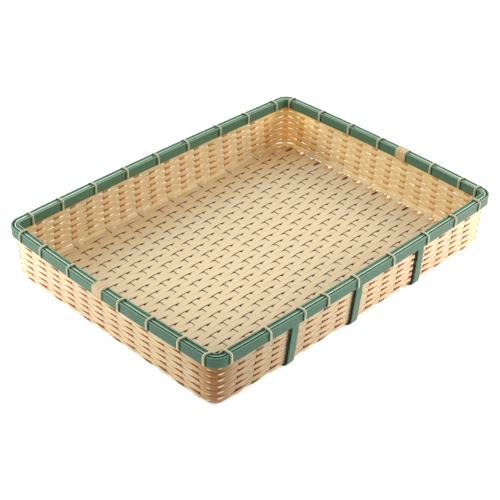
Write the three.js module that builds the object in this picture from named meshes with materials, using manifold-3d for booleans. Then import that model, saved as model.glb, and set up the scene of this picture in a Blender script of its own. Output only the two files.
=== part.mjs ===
// A rectangular draining basket of split bamboo: a plain-woven floor whose strips turn up
// as stakes, thirteen rows of weavers round the walls and a hidden row inside the rim,
// a green rim of two hoops with filler strips between them, lashed by thin ties,
// two wide binders over the hoops' scarf joints, and three carrying straps underneath.
// Units are millimetres, +Z is up, and the origin is under the centre of the tray.

import * as THREE from 'three';
import { mergeVertices } from 'three/addons/utils/BufferGeometryUtils.js';
import Module from 'manifold-3d';

const wasm = await Module();
wasm.setup();

// Driving dimensions of the tray
const rimLength = 360;
const rimWidth = 267;
const rimTop = 54.5;
const rimHeight = 9.5;
const rimCornerRadius = 12;
const longSideBow = 3.2;
const shortSideBow = 3.8;
const footCornerRadius = 10;
const wallLeanDegrees = 5;
const filletRadius = 4.6;

// Split bamboo of the floor and the walls
const floorStripCount = 38;
const floorEdgeReach = 0.625;
const floorStripGap = 0.31;
const crossStripCount = 16;
const crossStripInset = 33.75;
const crossStripShare = 0.3282;
const stripThickness = 0.8;
const weaverThickness = 0.7;
const weaverRowGap = 0.3;
const weaverFootShare = 0.402;
const weaverRows = 13;
const stakeEvery = 3;
const firstStakeStrip = 2;
const weaveGap = 0.5;
const filletEase = 0.31;
const strapEase = 0.8;
const cornerEase = 0.4;
const bearingBite = 0.1;
const cornerStakeWidth = 3;
const cornerCarry = 0.7;

// Rim, straps and lashings
const outerHoopThickness = 2;
const innerHoopThickness = 1.4;
const fillerCount = 2;
const fillerThickness = 1.8;
const fillerHeightShare = 0.316;
const fillerDrop = 0.4;
const scarfRun = 7;
const scarfGap = 0.3;
const strapThickness = 1;
const strapWidthShare = 0.43;
const strapTuckShare = 0.484;
const strapTongue = 0.55;
const tieWidth = 1.1;
const tieThickness = 0.8;
const tieTurnGap = 0.45;
const binderShare = 0.572;
const binderThickness = 0.8;

// Clearances
const seatGap = 0.3;
const cutOverrun = 1;

// How finely round forms are stepped
const filletSteps = 3;
const cornerArcSteps = 3;
const windingSamples = 8;
const longSideSteps = 6;
const shortSideSteps = 4;

// Places along the walls, in stake pitches from the first stake of that wall. A place
// beyond the wall's first or last stake is a share of the room up to the corner's bend.
const frontTieShares = [-0.81, 1.28, 3.28, 4.72, 6.64, 9.28, 11.5, 13.5, 15.25];
const backTieShares = [-0.43, 1.28, 3.28, 5.28, 7.28, 9.28, 11.5, 13.5, 15.49];
const leftTieShares = [-0.97, 0.64, 2.5, 4.3, 7.7, 9.7, 11.34];
const rightTieShares = [-0.34, 0.68, 2.4, 5.7, 7.7, 9.7, 11.97];
const leftBinderShare = 5.5;
const rightBinderShare = 4.46;
const strapShares = [2.909, 6.93, 11.229];

// Places that follow from the sizes above
const crossStripPitch = (rimLength - 2 * crossStripInset) / (crossStripCount - 1);
const crossStripWidth = crossStripPitch * crossStripShare;
const strapWidth = crossStripPitch * strapWidthShare;
const lean = THREE.MathUtils.degToRad(90 - wallLeanDegrees);
const weaveOffset = (stripThickness + weaverThickness) / 2 + weaveGap;
const floorOffset = stripThickness + weaveGap;
const bearingOffset = stripThickness - bearingBite;
const wallHalfThickness = weaveOffset + weaverThickness / 2;
const floorHalfThickness = floorOffset + stripThickness / 2;
const floorMid = strapThickness + seatGap + floorHalfThickness;
const hoopSpace = fillerCount * (fillerThickness + seatGap) + seatGap;
const wallInset = outerHoopThickness + hoopSpace - seatGap - wallHalfThickness;
const rimInset = outerHoopThickness + hoopSpace + innerHoopThickness;
const rimUnder = rimTop - rimHeight;
const fillerTop = rimTop - fillerDrop;
const fillerHeight = rimHeight * fillerHeightShare;
const strapTuck = rimHeight * strapTuckShare;
const stakeTop = fillerTop - fillerHeight - seatGap;
const filletArc = filletRadius * lean;
const filletRise = filletRadius * (1 - Math.cos(lean));
const filletRun = filletRadius * Math.sin(lean);
const slopeLength = (rimUnder - floorMid - filletRise) / Math.sin(lean);
const wallLength = filletArc + slopeLength;
const wallTopLength = wallLength + stakeTop - rimUnder;
const footInset = wallInset + slopeLength * Math.cos(lean) + filletRun;
const floorWidth = rimWidth - 2 * (footInset - floorEdgeReach);
const floorStripPitch = (floorWidth + floorStripGap) / floorStripCount;
const floorStripWidth = floorStripPitch - floorStripGap;
const tieUnderGap = 2 * seatGap + tieThickness;
const weaverPitch = (wallLength - tieUnderGap) / (weaverRows + weaverFootShare);
const weaverWidth = weaverPitch - weaverRowGap;
const filletSag = filletRadius * (1 - Math.cos(weaverWidth / (2 * filletRadius)));
const rimWeaverRoom = stakeTop - rimUnder - tieUnderGap;
const shortStakeCount = Math.floor((floorStripCount - 2 * firstStakeStrip - 1) / stakeEvery) + 1;
const shortStakePitch = stakeEvery * floorStripPitch;
const binderWidth = shortStakePitch * binderShare;

const bambooColour = 0xe3c88f;
const stakeColour = 0xd8b777;
const rimColour = 0x3f7a5c;
const tieColour = 0xd9c9a0;
const bambooRoughness = 0.55;
const rimRoughness = 0.4;

const tray = new THREE.Group();

// The floor is straight and the rim bows outwards, so a point is drawn in towards the
// corners, and the more so the higher it lies.
function drawnIn(x, y, z) {
  const share = Math.min(z / rimUnder, 1);
  const alongLong = 2 * x / rimLength;
  const alongShort = 2 * y / rimWidth;
  return [
    x - alongLong * shortSideBow * alongShort * alongShort * share,
    y - alongShort * longSideBow * alongLong * alongLong * share,
  ];
}

function bowed(geometry) {
  const positions = geometry.attributes.position;
  for (let i = 0; i < positions.count; i += 1) {
    positions.setXY(i, ...drawnIn(positions.getX(i), positions.getY(i), positions.getZ(i)));
  }
  return geometry;
}

function addPiece(name, geometry, color, roughness = bambooRoughness) {
  const material = new THREE.MeshStandardMaterial({ color, roughness, metalness: 0 });
  const piece = new THREE.Mesh(geometry, material);
  piece.name = name;
  tray.add(piece);
}

// The middle surface of the wall in section: how far in from the rim's outside and how
// high it lies at a distance up the wall from the foot, and how steep it is there.
function wallSection(climb) {
  if (climb <= 0) {
    return { inset: footInset - climb, height: floorMid, steep: 0, cornerRadius: footCornerRadius };
  }
  const angle = Math.min(climb, filletArc) / filletRadius;
  const onSlope = THREE.MathUtils.clamp(climb - filletArc, 0, slopeLength);
  const onRim = Math.max(climb - wallLength, 0);
  const run = filletRadius * Math.sin(angle) + onSlope * Math.cos(lean);
  const rise = filletRadius * (1 - Math.cos(angle)) + onSlope * Math.sin(lean);
  const share = Math.min(climb / wallLength, 1);
  return {
    inset: footInset - run,
    height: floorMid + rise + onRim,
    steep: onRim > 0 ? Math.PI / 2 : angle,
    cornerRadius: THREE.MathUtils.lerp(footCornerRadius, rimCornerRadius - wallInset, share),
  };
}

// Where a place round the tray lies in plan on a rounded rectangle, and which way is out.
// A place is on a wall, at a distance along X or Y, or at an angle round a corner.
function planPoint(place, inset, radius) {
  const reachX = rimLength / 2 - inset;
  const reachY = rimWidth / 2 - inset;
  const centreX = reachX - radius;
  const centreY = reachY - radius;
  if (place.corner) {
    const out = new THREE.Vector3(Math.cos(place.angle), Math.sin(place.angle), 0);
    const centre = new THREE.Vector3(place.corner[0] * centreX, place.corner[1] * centreY, 0);
    return { point: centre.addScaledVector(out, radius), out };
  }
  const alongX = place.wall === 'front' || place.wall === 'back';
  const centre = alongX ? centreX : centreY;
  const far = alongX ? centreY : centreX;
  const past = THREE.MathUtils.clamp(Math.abs(place.at) - centre, 0, radius) * Math.sign(place.at);
  const depth = Math.sqrt(radius * radius - past * past);
  const side = place.wall === 'back' || place.wall === 'right' ? 1 : -1;
  const point = new THREE.Vector3(place.at, side * (far + depth), 0);
  const out = new THREE.Vector3(past / radius, side * depth / radius, 0);
  return alongX ? { point, out } : { point: swapXY(point), out: swapXY(out) };
}

function swapXY(vector) {
  return new THREE.Vector3(vector.y, vector.x, vector.z);
}

// A point on the wall with its outward normal, at a climb from the foot and an offset
// out of the middle surface.
function wallStation(place, climb, offset = 0) {
  const section = wallSection(climb);
  const plan = planPoint(place, section.inset, section.cornerRadius);
  const normal = plan.out.clone().multiplyScalar(Math.sin(section.steep));
  normal.z = -Math.cos(section.steep);
  const point = plan.point.clone().setZ(section.height).addScaledVector(normal, offset);
  return { point, normal };
}

// A flat strip swept through stations. Each station has its middle point and the
// direction through the strip's thickness, and may have a thickness of its own.
function stripGeometry(stations, width, thickness, closed) {
  const count = stations.length;
  const positions = [];
  const indices = [];
  stations.forEach((station, i) => {
    const before = stations[closed ? (i + count - 1) % count : Math.max(i - 1, 0)];
    const after = stations[closed ? (i + 1) % count : Math.min(i + 1, count - 1)];
    const along = station.along ?? after.point.clone().sub(before.point);
    const across = station.through.clone().cross(along).normalize().multiplyScalar(width / 2);
    const half = (station.thickness ?? thickness) / 2;
    for (const [side, face] of [[1, 1], [-1, 1], [-1, -1], [1, -1]]) {
      const corner = station.point.clone().addScaledVector(across, side);
      corner.addScaledVector(station.through, face * half);
      positions.push(...corner.toArray());
    }
  });
  const spans = closed ? count : count - 1;
  for (let i = 0; i < spans; i += 1) {
    const here = 4 * i;
    const next = 4 * ((i + 1) % count);
    for (let k = 0; k < 4; k += 1) {
      const l = (k + 1) % 4;
      indices.push(here + k, here + l, next + l);
      indices.push(here + k, next + l, next + k);
    }
  }
  if (!closed) {
    const end = 4 * (count - 1);
    indices.push(0, 2, 1, 0, 3, 2);
    indices.push(end, end + 1, end + 2, end, end + 2, end + 3);
  }
  const geometry = new THREE.BufferGeometry();
  geometry.setAttribute('position', new THREE.Float32BufferAttribute(positions, 3));
  geometry.setIndex(indices);
  return geometry;
}

function toSolid(geometry) {
  const bare = geometry.clone();
  bare.deleteAttribute('normal');
  bare.deleteAttribute('uv');
  const merged = mergeVertices(bare);
  return new wasm.Manifold(new wasm.Mesh({
    numProp: 3,
    vertProperties: new Float32Array(merged.attributes.position.array),
    triVerts: new Uint32Array(merged.index.array),
  }));
}

function toGeometry(solid) {
  const mesh = solid.getMesh();
  const geometry = new THREE.BufferGeometry();
  geometry.setAttribute('position', new THREE.BufferAttribute(mesh.vertProperties, 3));
  geometry.setIndex(new THREE.BufferAttribute(mesh.triVerts, 1));
  return geometry;
}

// Where the strips and stakes stand
function crossStripX(index) {
  return (index - (crossStripCount - 1) / 2) * crossStripPitch;
}

function floorStripY(index) {
  return (index - (floorStripCount - 1) / 2) * floorStripPitch;
}

function shortStakeY(index) {
  return (index - (shortStakeCount - 1) / 2) * shortStakePitch;
}

function isStakeStrip(index) {
  return (index - firstStakeStrip) % stakeEvery === 0;
}

// The climb of a strip from the foot to its top between the hoops
function stakeClimbs() {
  const climbs = [];
  for (let k = 0; k <= filletSteps; k += 1) {
    climbs.push(filletArc * k / filletSteps);
  }
  return [...climbs, wallLength, wallTopLength];
}

function stakeEnd(place) {
  return stakeClimbs().map((climb) => {
    const { point, normal } = wallStation(place, climb);
    return { point, through: normal.clone().negate() };
  });
}

const floorUp = new THREE.Vector3(0, 0, 1);

// A lengthwise strip passes over and under the cross strips. It bears hard on the first
// of them, and the first and the last lengthwise strip bear on them all.
function floorStrip(index) {
  const y = floorStripY(index);
  const stations = [];
  for (let i = 0; i < crossStripCount; i += 1) {
    const bears = index === 0 || index === floorStripCount - 1 || i === 0;
    const side = (index + i) % 2 === 0 ? 1 : -1;
    const height = floorMid + side * (bears ? bearingOffset : floorOffset);
    stations.push({ point: new THREE.Vector3(crossStripX(i), y, height), through: floorUp });
  }
  const ends = ['left', 'right'].map((wall) => {
    if (isStakeStrip(index)) {
      return stakeEnd({ wall, at: y });
    }
    const outerEdge = y + Math.sign(y) * floorStripWidth / 2;
    const { point } = wallStation({ wall, at: outerEdge }, 0);
    const reach = Math.max(Math.abs(point.x), crossStripX(crossStripCount - 1) + crossStripWidth / 4);
    return [{ point: new THREE.Vector3(Math.sign(point.x) * reach, y, point.z), through: floorUp }];
  });
  const way = [...ends[0].reverse(), ...stations, ...ends[1]];
  return stripGeometry(way, floorStripWidth, stripThickness, false);
}

function crossStrip(index) {
  const at = crossStripX(index);
  const front = stakeEnd({ wall: 'front', at });
  const back = stakeEnd({ wall: 'back', at });
  return stripGeometry([...front.reverse(), ...back], crossStripWidth, stripThickness, false);
}

function wovenBase() {
  const strips = [];
  for (let j = 0; j < floorStripCount; j += 1) {
    strips.push(toSolid(floorStrip(j)));
  }
  for (let i = 0; i < crossStripCount; i += 1) {
    strips.push(toSolid(crossStrip(i)));
  }
  return toGeometry(wasm.Manifold.union(strips));
}

// The stakes in order round the tray, counter-clockwise from the front left, with a
// bare place on each side of a corner's stake where the weavers only bend.
function placesRound() {
  const long = Array.from({ length: crossStripCount }, (_, i) => crossStripX(i));
  const short = Array.from({ length: shortStakeCount }, (_, i) => shortStakeY(i));
  const runs = [
    { wall: 'front', spots: long, corner: [1, -1], turn: -Math.PI / 2 },
    { wall: 'right', spots: short, corner: [1, 1], turn: 0 },
    { wall: 'back', spots: [...long].reverse(), corner: [-1, 1], turn: Math.PI / 2 },
    { wall: 'left', spots: [...short].reverse(), corner: [-1, -1], turn: Math.PI },
  ];
  const places = [];
  for (const { wall, spots, corner, turn } of runs) {
    spots.forEach((at, index) => {
      const ends = index === 0 || index === spots.length - 1;
      places.push({ wall, at, stake: true, ease: ends ? cornerEase : 0 });
    });
    places.push({ corner, angle: turn + Math.PI / 8, stakeAhead: 1 });
    places.push({ corner, angle: turn + Math.PI / 4, stake: true, ease: cornerEase });
    places.push({ corner, angle: turn + Math.PI * 3 / 8, stakeAhead: -1 });
  }
  return places;
}

const places = placesRound();

// One weaver goes in front of one stake and behind the next, all the way round. The
// next row up takes the other side of each stake.
function weaver(row) {
  const climb = row < 0
    ? wallLength + tieUnderGap + rimWeaverRoom / 2
    : wallLength - tieUnderGap - (row + 1 / 2) * weaverPitch;
  const bendEase = climb < filletArc + weaverPitch ? filletSag + filletEase : 0;
  let passed = row < 0 ? 1 : row;
  const sides = places.map((place) => {
    passed += place.stake ? 1 : 0;
    return place.stake && (passed % 2 === 0 ? 1 : -1);
  });
  const offset = weaveOffset + bendEase;
  const stations = places.map((place, k) => {
    const betweenHoops = row < 0 && sides[k] < 0;
    const ease = betweenHoops ? 0 : place.ease;
    const carried = sides[k + place.stakeAhead] * cornerCarry;
    const away = place.stake ? sides[k] * (offset + ease) : offset * carried;
    const { point } = wallStation(place, climb, away);
    return { point, through: wallStation(place, climb).normal };
  });
  const width = row < 0 ? Math.min(weaverWidth, rimWeaverRoom) : weaverWidth;
  return stripGeometry(stations, width, weaverThickness, true);
}

// A corner's stake is pushed in beside the floor's corner and starts above the foot.
function cornerStake(place) {
  const stations = stakeEnd(place).slice(1);
  return stripGeometry(stations, cornerStakeWidth, stripThickness, false);
}

// Rim hoops and filler strips: a rounded rectangle with bowed sides in plan, with a like
// one cut out of it. Its sides are in steps, which make their bow.
function roundedRectangle(inset) {
  const reachX = rimLength / 2 - inset;
  const reachY = rimWidth / 2 - inset;
  const radius = rimCornerRadius - inset;
  const straightX = reachX - radius;
  const straightY = reachY - radius;
  const points = [];
  const sides = [
    { centre: [straightX, -straightY], turn: -Math.PI / 2, steps: shortSideSteps },
    { centre: [straightX, straightY], turn: 0, steps: longSideSteps },
    { centre: [-straightX, straightY], turn: Math.PI / 2, steps: shortSideSteps },
    { centre: [-straightX, -straightY], turn: Math.PI, steps: longSideSteps },
  ];
  sides.forEach(({ centre, turn, steps }, k) => {
    for (let step = 0; step <= cornerArcSteps; step += 1) {
      const angle = turn + Math.PI / 2 * step / cornerArcSteps;
      points.push(new THREE.Vector2(...centre).addScaledVector(direction(angle), radius));
    }
    const ahead = sides[(k + 1) % sides.length];
    const start = points[points.length - 1];
    const end = new THREE.Vector2(...ahead.centre).addScaledVector(direction(ahead.turn), radius);
    for (let step = 1; step < steps; step += 1) {
      points.push(start.clone().lerp(end, step / steps));
    }
  });
  return new THREE.Shape(points.map(({ x, y }) => new THREE.Vector2(...drawnIn(x, y, rimTop))));
}

function direction(angle) {
  return new THREE.Vector2(Math.cos(angle), Math.sin(angle));
}

function rimRing(inset, thickness, bottom, height) {
  const outline = roundedRectangle(inset);
  outline.holes.push(roundedRectangle(inset + thickness));
  const geometry = new THREE.ExtrudeGeometry(outline, { depth: height, bevelEnabled: false });
  return geometry.translate(0, 0, bottom);
}

// The two ends of a hoop lap in a slanted scarf, which lies under a binder.
function scarfedHoop(inset, thickness, side, y) {
  const hoop = toSolid(rimRing(inset, thickness, rimUnder, rimHeight));
  const slant = Math.atan2(thickness, scarfRun);
  const reach = Math.hypot(thickness, scarfRun) + 2 * cutOverrun;
  const slit = new THREE.BoxGeometry(scarfGap, reach, rimHeight + 2 * cutOverrun);
  slit.rotateZ(side * slant);
  const middle = drawnIn(side * (rimLength / 2 - inset - thickness / 2), y, rimTop);
  slit.translate(...middle, rimUnder + rimHeight / 2);
  return toGeometry(hoop.subtract(toSolid(slit)));
}

// A strap hangs from behind the outer hoop, runs down the front wall, under the floor
// and up the back wall. Its two ends are shaved to thin tongues that tuck in the rim.
function strap(share) {
  const at = crossStripX(share);
  const outside = seatGap + strapThickness / 2;
  const tongueOutside = wallHalfThickness + seatGap + strapTongue / 2;
  const halves = ['front', 'back'].map((wall) => stakeClimbs().map((climb, k, all) => {
    const tucked = k >= all.length - 2;
    const reach = k === all.length - 1 ? wallLength + strapTuck : climb;
    const carried = climb === 0 ? floorHalfThickness : wallHalfThickness + strapEase;
    const { point, normal } = wallStation({ wall, at }, reach, tucked ? tongueOutside : carried + outside);
    const thickness = tucked ? strapTongue : strapThickness;
    return { point, through: normal.negate(), thickness };
  }));
  return stripGeometry([...halves[0].reverse(), ...halves[1]], strapWidth, strapThickness, false);
}

// The four corners of a lashing's way round the rim, as an offset out of the rim's
// outside and a height, with the direction out of the rim at each.
function rimWay(thickness) {
  const clear = seatGap + thickness / 2;
  return [
    { inset: -clear, height: rimUnder - clear, leanOut: 1, up: -1 },
    { inset: -clear, height: rimTop + clear, leanOut: 1, up: 1 },
    { inset: rimInset + clear, height: rimTop + clear, leanOut: -1, up: 1 },
    { inset: rimInset + clear, height: rimUnder - clear, leanOut: -1, up: -1 },
  ];
}

function placeOnWall(wall, share) {
  const alongX = wall === 'front' || wall === 'back';
  const spotAt = alongX ? crossStripX : shortStakeY;
  const lastStake = (alongX ? crossStripCount : shortStakeCount) - 1;
  const bend = (alongX ? rimLength : rimWidth) / 2 - rimCornerRadius;
  const beyond = Math.min(share, 0) + Math.max(share - lastStake, 0);
  const lastSpot = spotAt(lastStake);
  const pastStakes = Math.sign(beyond) * lastSpot + beyond * (bend - lastSpot);
  return { wall, at: beyond === 0 ? spotAt(share) : pastStakes };
}

function frameAt(place) {
  const { point, out } = planPoint(place, 0, rimCornerRadius);
  const along = floorUp.clone().cross(out);
  return { point, out, along };
}

function rimStation(frame, corner, shift) {
  const point = frame.point.clone().addScaledVector(frame.out, -corner.inset);
  point.addScaledVector(frame.along, shift).setZ(corner.height);
  const through = frame.out.clone().multiplyScalar(corner.leanOut).setZ(corner.up);
  return { point, through };
}

let leastTieGap = Infinity;

// A tie is one strand wound twice round the rim. It starts below the outer hoop and
// ends below the inner one, and steps sideways on its way through the wall.
function tie(place) {
  const frame = frameAt(place);
  const way = rimWay(tieThickness);
  const step = tieWidth + tieTurnGap;
  const stations = [];
  for (let turn = 0; turn < 2; turn += 1) {
    way.forEach((corner, k) => {
      const station = rimStation(frame, corner, (turn - 1 / 2) * step);
      const first = turn === 0 && k === 0;
      const last = turn === 1 && k === way.length - 1;
      if (first || last) {
        station.through = frame.out.clone().multiplyScalar(corner.leanOut);
      }
      stations.push(station);
    });
  }
  leastTieGap = Math.min(leastTieGap, turnGap(stations, tieWidth));
  return windingGeometry(stations, frame.along, tieWidth, tieThickness);
}

// The least gap between the two turns of a lashing, measured on points along its middle
function turnGap(stations, width) {
  const samples = [];
  stations.slice(1).forEach((station, i) => {
    for (let step = 0; step <= windingSamples; step += 1) {
      const sample = stations[i].point.clone().lerp(station.point, step / windingSamples);
      samples.push(new THREE.Vector3(...drawnIn(sample.x, sample.y, sample.z), sample.z));
    }
  });
  let least = Infinity;
  const halfTurn = Math.floor(samples.length / 4);
  samples.forEach((sample, i) => {
    for (const other of samples.slice(i + halfTurn)) {
      least = Math.min(least, sample.distanceTo(other) - width);
    }
  });
  return least;
}

// A strand whose flat side always lies along the rim
function windingGeometry(stations, side, width, thickness) {
  const ready = stations.map(({ point, through }) => {
    const along = through.clone().cross(side);
    return { point, through, along };
  });
  return stripGeometry(ready, width, thickness, false);
}

// A binder is one wide band round the rim, closed under it.
function binder(place) {
  const frame = frameAt(place);
  const way = rimWay(binderThickness);
  const stations = [];
  way.forEach((corner, k) => {
    const next = way[(k + 1) % way.length];
    stations.push(rimStation(frame, corner, 0));
    const middle = {
      inset: (corner.inset + next.inset) / 2,
      height: (corner.height + next.height) / 2,
      leanOut: (corner.leanOut + next.leanOut) / 2,
      up: (corner.up + next.up) / 2,
    };
    stations.push(rimStation(frame, middle, 0));
  });
  const ready = stations.map(({ point, through }) => ({
    point,
    through,
    along: through.clone().cross(frame.along),
  }));
  return stripGeometry(ready, binderWidth, binderThickness, true);
}

addPiece('woven_base', bowed(wovenBase()), bambooColour);

places.filter((place) => place.corner && place.stake).forEach((place, index) => {
  addPiece(`corner_stake_${index + 1}`, bowed(cornerStake(place)), stakeColour);
});

for (let row = 0; row < weaverRows; row += 1) {
  const name = `weaver_${String(weaverRows - row).padStart(2, '0')}`;
  addPiece(name, bowed(weaver(row)), bambooColour);
}
addPiece('rim_weaver', bowed(weaver(-1)), bambooColour);

const innerHoopInset = rimInset - innerHoopThickness;
const outerHoop = scarfedHoop(0, outerHoopThickness, -1, shortStakeY(leftBinderShare));
const innerHoop = scarfedHoop(innerHoopInset, innerHoopThickness, 1, shortStakeY(rightBinderShare));
addPiece('outer_hoop', outerHoop, rimColour, rimRoughness);
addPiece('inner_hoop', innerHoop, rimColour, rimRoughness);
for (let k = 0; k < fillerCount; k += 1) {
  const inset = outerHoopThickness + seatGap + k * (fillerThickness + seatGap);
  const filler = rimRing(inset, fillerThickness, fillerTop - fillerHeight, fillerHeight);
  addPiece(`rim_filler_${k + 1}`, filler, rimColour, rimRoughness);
}

strapShares.forEach((share, index) => {
  addPiece(`strap_${index + 1}`, bowed(strap(share)), rimColour, rimRoughness);
});

const tieRuns = { front: frontTieShares, back: backTieShares, left: leftTieShares, right: rightTieShares };
for (const [wall, shares] of Object.entries(tieRuns)) {
  shares.forEach((share, index) => {
    addPiece(`tie_${wall}_${index + 1}`, bowed(tie(placeOnWall(wall, share))), tieColour);
  });
}
console.log(`least gap of a lashing to itself: ${leastTieGap.toFixed(3)} mm`);

addPiece('binder_left', bowed(binder(placeOnWall('left', leftBinderShare))), tieColour);
addPiece('binder_right', bowed(binder(placeOnWall('right', rightBinderShare))), tieColour);

export default tray;
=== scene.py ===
# The looks of a rectangular split-bamboo draining basket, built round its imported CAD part.
# Lengths are in millimetres until a mesh is made, and metres from there on.

import math

import bpy
import numpy as np
from mathutils import Matrix, Vector


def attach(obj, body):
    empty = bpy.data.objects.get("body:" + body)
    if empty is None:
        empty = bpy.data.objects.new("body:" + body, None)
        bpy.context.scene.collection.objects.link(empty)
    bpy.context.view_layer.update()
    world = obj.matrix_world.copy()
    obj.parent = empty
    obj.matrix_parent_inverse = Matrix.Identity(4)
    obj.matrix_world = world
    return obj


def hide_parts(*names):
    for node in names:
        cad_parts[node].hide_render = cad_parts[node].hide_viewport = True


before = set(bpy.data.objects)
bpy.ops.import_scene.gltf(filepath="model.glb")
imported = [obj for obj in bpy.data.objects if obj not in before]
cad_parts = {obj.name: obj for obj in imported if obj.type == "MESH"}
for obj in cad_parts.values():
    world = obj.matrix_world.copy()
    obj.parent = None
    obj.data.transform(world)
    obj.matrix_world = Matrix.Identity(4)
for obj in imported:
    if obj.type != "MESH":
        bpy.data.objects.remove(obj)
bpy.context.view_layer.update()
print("stage: frame loaded")

scene = bpy.context.scene
draw = np.random.default_rng(4807)
millimetre = 0.001
anyPhase = 6.3  # waves start anywhere in about a full turn
up = np.array([0.0, 0.0, 1.0])

basket = {
    "length": 360,
    "width": 267,
    "rimTop": 54.5,
    "rimUnder": 45,
    "rimCorner": 12,
    "longBow": 3.2,
    "shortBow": 3.8,
    "footCorner": 13,
    "steep": math.radians(85),
    "fillet": 4.6,
    "floorMid": 3,
    "wallInset": 4.6,
    "stakeTop": 50.8,
    "crossCount": 16,
    "crossPitch": 19.5,
    "floorCount": 38,
    "floorPitch": 6.41,
    "stakeEvery": 3,
    "firstStake": 2,
    "shortCount": 12,
}
halfLong, halfWide = basket["length"] / 2, basket["width"] / 2
steepCos, steepSin = math.cos(basket["steep"]), math.sin(basket["steep"])
filletArc = basket["fillet"] * basket["steep"]
filletRise = basket["fillet"] * (1 - steepCos)
filletRun = basket["fillet"] * steepSin
slope = (basket["rimUnder"] - basket["floorMid"] - filletRise) / steepSin
wallLength = filletArc + slope
wallTop = wallLength + basket["stakeTop"] - basket["rimUnder"]
footInset = basket["wallInset"] + slope * steepCos + filletRun
shortPitch = basket["stakeEvery"] * basket["floorPitch"]


def crossX(index):
    return (index - (basket["crossCount"] - 1) / 2) * basket["crossPitch"]


def floorY(index):
    return (index - (basket["floorCount"] - 1) / 2) * basket["floorPitch"]


def shortY(index):
    return (index - (basket["shortCount"] - 1) / 2) * shortPitch


def eased(share):
    share = np.clip(share, 0, 1)
    return share * share * (3 - 2 * share)


def unit(vectors):
    return vectors / np.maximum(np.linalg.norm(vectors, axis=-1, keepdims=True), 1e-9)


# The first value at a share of 0 and the second at 1
def blend(first, second, share):
    return first + np.subtract(second, first) * share


# White at a share of 0 and the tone at 1
def toned(tone, share):
    return blend(1, tone, np.asarray(share)[..., None])


# Tones between those at some spots along a way
def toneAlong(at, spots, tones):
    return np.stack([np.interp(at, spots, channel) for channel in zip(*tones)], axis=1)


# Inset from the rim's outside, height, steepness and corner radius at a climb up the wall
def wallSection(climb):
    if climb <= 0:
        return footInset - climb, basket["floorMid"], 0.0, basket["footCorner"]
    angle = min(climb, filletArc) / basket["fillet"]
    onSlope = min(max(climb - filletArc, 0), slope)
    onRim = max(climb - wallLength, 0)
    run = basket["fillet"] * math.sin(angle) + onSlope * steepCos
    rise = basket["fillet"] * (1 - math.cos(angle)) + onSlope * steepSin
    share = min(climb / wallLength, 1)
    topCorner = basket["rimCorner"] - basket["wallInset"]
    radius = blend(basket["footCorner"], topCorner, share)
    steep = math.pi / 2 if onRim > 0 else angle
    return footInset - run, basket["floorMid"] + rise + onRim, steep, radius


# A point in plan, with the way out: a place is (wall, distance) or (corner x, corner y, angle)
def planPoint(place, inset, radius):
    reachX = halfLong - inset
    reachY = halfWide - inset
    if len(place) == 3:
        out = np.array([math.cos(place[2]), math.sin(place[2])])
        centre = np.array([place[0] * (reachX - radius), place[1] * (reachY - radius)])
        return centre + out * radius, out
    wall, at = place
    alongX = wall in ("front", "back")
    centre, far = (reachX - radius, reachY - radius) if alongX else (reachY - radius, reachX - radius)
    past = math.copysign(min(max(abs(at) - centre, 0), radius), at)
    depth = math.sqrt(max(radius * radius - past * past, 0))
    side = 1 if wall in ("back", "right") else -1
    point = np.array([at, side * (far + depth)])
    out = np.array([past / radius, side * depth / radius])
    return (point, out) if alongX else (point[::-1], out[::-1])


def wallStation(place, climb, offset=0.0):
    inset, height, steep, radius = wallSection(climb)
    plan, out = planPoint(place, inset, radius)
    normal = np.array([out[0] * math.sin(steep), out[1] * math.sin(steep), -math.cos(steep)])
    return np.array([plan[0], plan[1], height]) + normal * offset, normal


# The points and outward normals at several climbs
def wallLine(place, climbs, offsets=0.0):
    offsets = np.broadcast_to(offsets, (len(climbs),))
    stations = [wallStation(place, climb, offset) for climb, offset in zip(climbs, offsets)]
    return [np.array([station[part] for station in stations]).reshape(-1, 3) for part in (0, 1)]


# Cross-sections of a strip, as shares of its half width and half thickness, going round it
def roundedSection(corner, crown, steps=3, top=5, depth=0.75):
    points = []
    for sx, sy in ((1, 1), (-1, 1), (-1, -1), (1, -1)):
        turn = []
        for k in range(steps + 1):
            angle = math.pi / 2 * k / steps
            x = sx * (1 - corner * (1 - math.cos(angle)))
            turn.append((x, sy * (1 - depth * (1 - math.sin(angle)))))
        if sx * sy < 0:
            turn.reverse()
        points += turn
        if sx > 0 and sy > 0:
            inner = 1 - corner
            points += [(inner - 2 * inner * (k + 1) / (top + 1), 1.0) for k in range(top)]
    return np.array([(x, y * (1 - crown * x * x) if y > 0 else y) for x, y in points])


flatSection = roundedSection(corner=0.1, crown=0.1)
plankSection = roundedSection(corner=0.2, crown=0.1)
ribSection = roundedSection(corner=0.3, crown=0.45)
hoopSection = roundedSection(corner=0.08, crown=0.03, steps=4)
strandSection = roundedSection(corner=0.35, crown=0.35, top=3)
bandSection = roundedSection(corner=0.1, crown=0.35)


# The tone round a strip's section: its edges past a reach, and the face that looks inwards
def sectionTone(section, inside, edge=(1, 1, 1), reach=0.8):
    tone = np.ones((len(section), 3))
    tone[np.abs(section[:, 0]) > reach] *= edge
    tone[section[:, 1] < 0] *= inside
    return tone


# The strips of one piece, gathered until its mesh is made
class Gather:
    def __init__(self):
        self.points, self.grain, self.tint, self.quads, self.caps = [], [], [], [], []
        self.count = 0


grainDepth = 1.7  # sets the grain of a strip's sides apart from that of its face


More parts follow.
